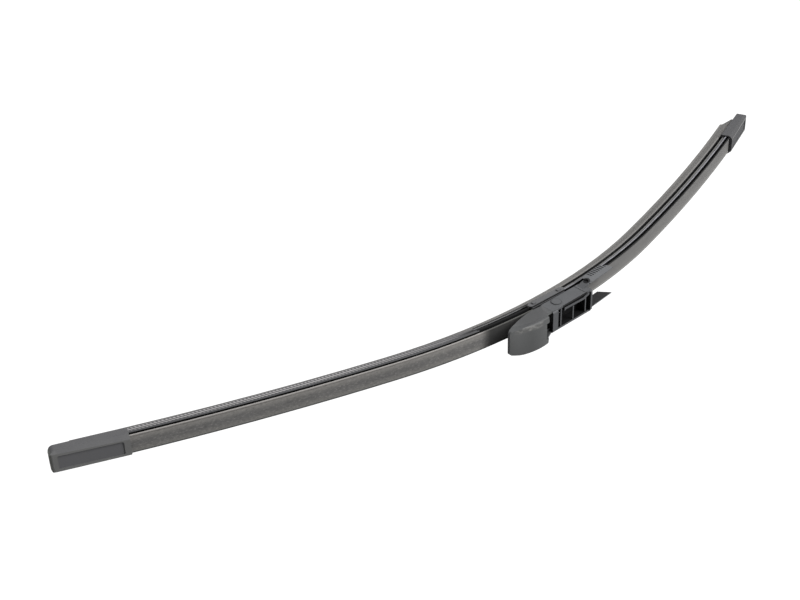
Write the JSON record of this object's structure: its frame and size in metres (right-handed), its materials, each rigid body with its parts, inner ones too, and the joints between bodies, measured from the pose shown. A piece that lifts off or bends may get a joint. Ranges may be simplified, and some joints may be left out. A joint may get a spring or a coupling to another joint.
{
  "type": "wiper blade",
  "caption": "Flat bow-shaped wiper blade with a rubber lip on spring rails, slim covers, open-bottomed end caps and a rocking arm adaptor with a wedge nose.",
  "frame": {"origin": "on the rocking axis, midway between the adaptor's side plates", "axes": "+X along the blade from the nose cap to the adaptor's pinch tabs, +Y across the blade, +Z away from the glass"},
  "size_m": [0.513, 0.0182, 0.091],
  "materials": {
    "wiper_rubber": "moulded rubber with a dusty sheen on its flanks",
    "spring_steel": "spring steel with a thin dark coating, half gloss",
    "cover_plastic": "extruded soft plastic, dull and dusty",
    "cap_plastic": "moulded plastic with a fine grain",
    "base_plastic": "moulded black plastic",
    "adaptor_plastic": "moulded glass-filled plastic, satin",
    "nose_plastic": "moulded plastic with a fine grain, satin"
  },
  "bodies": {
    "adaptor": {"adaptor_frame": "adaptor_plastic", "nose_cap": "nose_plastic", "pivot_pin": "base_plastic"},
    "blade": {"base_bracket": "base_plastic", "front_rail": "spring_steel", "rear_rail": "spring_steel", "wiper_element": "wiper_rubber", "cover_strip_near": "cover_plastic", "cover_strip_far": "cover_plastic", "end_cap_near": "cap_plastic", "end_cap_far": "cap_plastic"}
  },
  "joints": [
    {"name": "rocking_pivot", "type": "hinge", "parent": "adaptor", "child": "blade", "pos_m": [0, 0, 0], "axis": [0, 1, 0], "range_deg": [-8, 8]}
  ]
}
